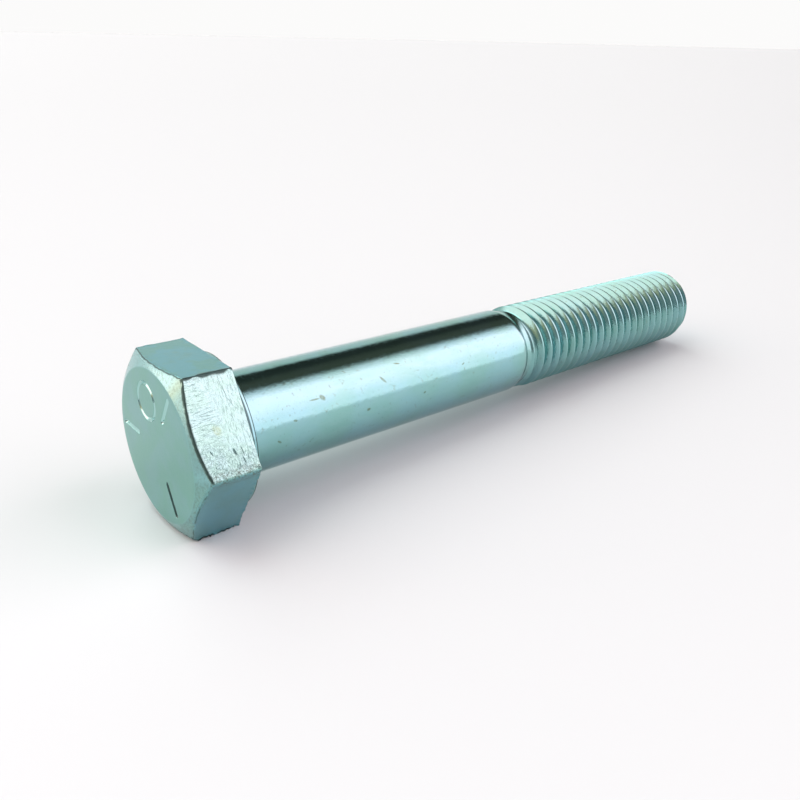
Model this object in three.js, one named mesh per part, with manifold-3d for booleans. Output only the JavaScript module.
// Hex bolt, 5/8 in - 11 UNC by 4 1/2 in, with a partly threaded shank.
// Millimetres, +Z up. The bolt lies along +X with two of its flats level:
// the origin is the centre of the head's top face, and +X runs down the shank to the point.
// It is one forged and thread-rolled piece of steel, so it is one mesh.

import * as THREE from 'three';
import { mergeVertices } from 'three/addons/utils/BufferGeometryUtils.js';
import Module from 'manifold-3d';

const INCH = 25.4;

// Head
const ACROSS_FLATS = 23.8;
const HEAD_HEIGHT = 9.2;
const CHAMFER_CIRCLE_RADIUS = 11;
const CHAMFER_ANGLE = THREE.MathUtils.degToRad(25.5);
const WASHER_FACE_RADIUS = 11.4;
const WASHER_FACE_THICKNESS = 0.95;
const ACROSS_CORNERS = ACROSS_FLATS / Math.cos(Math.PI / 6);

// Grade marks: shallow radial strokes struck into the head's top face
const MARK_COUNT = 3;
const MARK_FIRST_ANGLE = 0;
const MARK_INNER_RADIUS = 5.4;
const MARK_OUTER_RADIUS = 9.8;
const MARK_WIDTH = 0.7;
const MARK_DEPTH = 0.25;

// Shank
const LENGTH_UNDER_HEAD = 4.5 * INCH;
const BODY_RADIUS = 7.75;
const FILLET_RADIUS = 0.8;
const BODY_LENGTH = 57.9;
const SHOULDER_LENGTH = 1.3;

// Thread
const PITCH = INCH / 11;
const MAJOR_RADIUS = 7.86;
const MINOR_RADIUS = 6.5;
const BLANK_RADIUS = 7.15;
const RUN_OUT_LENGTH = 1.2 * PITCH;
const POINT_RADIUS = 6.35;
const POINT_LENGTH = 1.5;

// Smoothness
const BODY_SIDES = 48;
const THREAD_SIDES = 32;
const FILLET_STEPS = 4;

// Places along the axis
const BEARING_FACE_X = HEAD_HEIGHT;
const HEX_END_X = HEAD_HEIGHT - WASHER_FACE_THICKNESS;
const BODY_END_X = BEARING_FACE_X + BODY_LENGTH;
const SHOULDER_END_X = BODY_END_X + SHOULDER_LENGTH;
const POINT_END_X = BEARING_FACE_X + LENGTH_UNDER_HEAD;
const THREAD_START_X = BODY_END_X - 2 * PITCH;

// The thread's outline over one pitch: the two ends of the crest, then of the root
const THREAD_OUTLINE = [
  { along: 0, radius: MAJOR_RADIUS },
  { along: 1 / 8, radius: MAJOR_RADIUS },
  { along: 7 / 16, radius: MINOR_RADIUS },
  { along: 11 / 16, radius: MINOR_RADIUS },
];

const wasm = await Module();
wasm.setup();

// One closed solid from a closed three.js geometry, without its faces of no area.
function solidOf(geometry) {
  geometry.deleteAttribute('normal');
  geometry.deleteAttribute('uv');
  const merged = mergeVertices(geometry);
  const index = merged.index.array;
  const corners = [];
  for (let i = 0; i < index.length; i += 3) {
    const [a, b, c] = [index[i], index[i + 1], index[i + 2]];
    if (a !== b && b !== c && c !== a) corners.push(a, b, c);
  }
  return new wasm.Manifold(new wasm.Mesh({
    numProp: 3,
    vertProperties: new Float32Array(merged.attributes.position.array),
    triVerts: new Uint32Array(corners),
  }));
}

// A three.js geometry from a finished solid.
function geometryOf(solid) {
  const mesh = solid.getMesh();
  const geometry = new THREE.BufferGeometry();
  geometry.setAttribute('position', new THREE.BufferAttribute(mesh.vertProperties, 3));
  geometry.setIndex(new THREE.BufferAttribute(mesh.triVerts, 1));
  geometry.computeVertexNormals();
  return geometry;
}

// A solid of revolution about +X. The outline is a list of [x, radius] from axis to axis.
function turned(outline, sides) {
  const points = outline.map(([x, radius]) => new THREE.Vector2(radius, x));
  const geometry = new THREE.LatheGeometry(points, sides);
  geometry.rotateZ(-Math.PI / 2);
  return solidOf(geometry);
}

// The hexagonal prism, with flats facing up and down.
function hexPrism() {
  const outline = new THREE.Shape();
  for (let corner = 0; corner < 6; corner += 1) {
    const angle = (corner * Math.PI) / 3;
    const y = (ACROSS_CORNERS / 2) * Math.cos(angle);
    const z = (ACROSS_CORNERS / 2) * Math.sin(angle);
    if (corner === 0) outline.moveTo(y, z);
    else outline.lineTo(y, z);
  }
  const geometry = new THREE.ExtrudeGeometry(outline, { depth: HEX_END_X, bevelEnabled: false });
  // The outline's own x, y and depth become the bolt's Y, Z and X.
  const turn = new THREE.Matrix4().makeBasis(
    new THREE.Vector3(0, 1, 0),
    new THREE.Vector3(0, 0, 1),
    new THREE.Vector3(1, 0, 0),
  );
  geometry.applyMatrix4(turn);
  return solidOf(geometry);
}

// The cone that chamfers the hexagon's corners down to a round top face.
function chamferEnvelope() {
  const outerRadius = ACROSS_CORNERS / 2 + 1;
  const rise = (outerRadius - CHAMFER_CIRCLE_RADIUS) * Math.tan(CHAMFER_ANGLE);
  return turned([
    [0, 0],
    [0, CHAMFER_CIRCLE_RADIUS],
    [rise, outerRadius],
    [HEAD_HEIGHT, outerRadius],
    [HEAD_HEIGHT, 0],
  ], BODY_SIDES);
}

// One radial stroke, as the wedge that is cut from the top face.
function gradeMark(angle) {
  const length = MARK_OUTER_RADIUS - MARK_INNER_RADIUS;
  const wedge = new THREE.Shape();
  wedge.moveTo(MARK_DEPTH, 0);
  wedge.lineTo(-MARK_DEPTH, MARK_WIDTH);
  wedge.lineTo(-MARK_DEPTH, -MARK_WIDTH);
  wedge.closePath();
  const geometry = new THREE.ExtrudeGeometry(wedge, { depth: length, bevelEnabled: false });
  geometry.translate(0, 0, MARK_INNER_RADIUS);
  geometry.rotateX(angle - Math.PI / 2);
  return solidOf(geometry);
}

function head() {
  let solid = hexPrism().intersect(chamferEnvelope());
  for (let mark = 0; mark < MARK_COUNT; mark += 1) {
    const angle = MARK_FIRST_ANGLE + (mark * 2 * Math.PI) / MARK_COUNT;
    solid = solid.subtract(gradeMark(angle));
  }
  return solid;
}

// The washer face, the fillet under the head, the plain body and its tapered shoulder.
function body() {
  const outline = [
    [HEX_END_X / 2, 0],
    [HEX_END_X / 2, WASHER_FACE_RADIUS],
    [BEARING_FACE_X, WASHER_FACE_RADIUS],
  ];
  for (let step = 0; step <= FILLET_STEPS; step += 1) {
    const angle = (step / FILLET_STEPS) * (Math.PI / 2);
    const x = BEARING_FACE_X + FILLET_RADIUS * (1 - Math.cos(angle));
    const radius = BODY_RADIUS + FILLET_RADIUS * (1 - Math.sin(angle));
    outline.push([x, radius]);
  }
  outline.push([BODY_END_X, BODY_RADIUS]);
  outline.push([SHOULDER_END_X, MINOR_RADIUS]);
  outline.push([SHOULDER_END_X, 0]);
  return turned(outline, BODY_SIDES);
}

// How fully the thread is formed at a place: 0 on the blank, 1 past the run-out.
function threadFullness(x) {
  const start = BODY_END_X + SHOULDER_LENGTH / 2;
  return THREE.MathUtils.smoothstep(x, start, start + RUN_OUT_LENGTH);
}

// A point of the thread's surface. Each row follows the helix at one corner of the outline,
// and after one turn it meets the row that is one pitch further along.
function threadPoint(row, side) {
  const perTurn = THREAD_OUTLINE.length;
  if (side === THREAD_SIDES) return threadPoint(row + perTurn, 0);
  const corner = THREAD_OUTLINE[row % perTurn];
  const turns = Math.floor(row / perTurn) + side / THREAD_SIDES;
  const x = THREAD_START_X + (turns + corner.along) * PITCH;
  const radius = THREE.MathUtils.lerp(BLANK_RADIUS, corner.radius, threadFullness(x));
  const angle = (side / THREAD_SIDES) * 2 * Math.PI;
  return new THREE.Vector3(x, radius * Math.cos(angle), radius * Math.sin(angle));
}

// The edge that a row ends the thread's surface at: one turn of the helix, then back along
// the axis by one pitch to where it started.
function threadRim(row) {
  const rim = [];
  for (let side = 0; side < THREAD_SIDES; side += 1) rim.push(threadPoint(row, side));
  for (let back = THREAD_OUTLINE.length; back >= 0; back -= 1) rim.push(threadPoint(row + back, 0));
  return rim;
}

// The threaded rod, longer than needed at both ends. Each end closes on a point on the axis.
function threadedRod() {
  const turns = Math.ceil((POINT_END_X - THREAD_START_X) / PITCH) + 1;
  const rows = turns * THREAD_OUTLINE.length;
  const triangles = [];
  for (let row = 0; row < rows; row += 1) {
    for (let side = 0; side < THREAD_SIDES; side += 1) {
      const [a, b] = [threadPoint(row, side), threadPoint(row + 1, side)];
      const [c, d] = [threadPoint(row, side + 1), threadPoint(row + 1, side + 1)];
      triangles.push(a, c, b);
      triangles.push(b, c, d);
    }
  }
  const nearCentre = new THREE.Vector3(THREAD_START_X, 0, 0);
  const nearRim = threadRim(0);
  const farCentre = new THREE.Vector3(THREAD_START_X + (turns + 1) * PITCH, 0, 0);
  const farRim = threadRim(rows);
  for (let i = 1; i < nearRim.length; i += 1) {
    triangles.push(nearCentre, nearRim[i], nearRim[i - 1]);
    triangles.push(farCentre, farRim[i - 1], farRim[i]);
  }
  return solidOf(new THREE.BufferGeometry().setFromPoints(triangles));
}

// The outside of the threaded end: it squares off the rod and chamfers its point.
function pointEnvelope() {
  const startX = BODY_END_X - PITCH;
  const outerRadius = MAJOR_RADIUS + 0.5;
  const slope = (MAJOR_RADIUS - POINT_RADIUS) / POINT_LENGTH;
  return turned([
    [startX, 0],
    [startX, outerRadius],
    [POINT_END_X - (outerRadius - POINT_RADIUS) / slope, outerRadius],
    [POINT_END_X, POINT_RADIUS],
    [POINT_END_X, 0],
  ], BODY_SIDES);
}

function hexBolt() {
  const solid = head().add(body()).add(threadedRod().intersect(pointEnvelope()));
  const zinc = new THREE.MeshStandardMaterial({ color: 0x9fc4c2, roughness: 0.28, metalness: 1 });
  const mesh = new THREE.Mesh(geometryOf(solid), zinc);
  mesh.name = 'hex_bolt';
  return mesh;
}

const group = new THREE.Group();
group.add(hexBolt());

export default group;
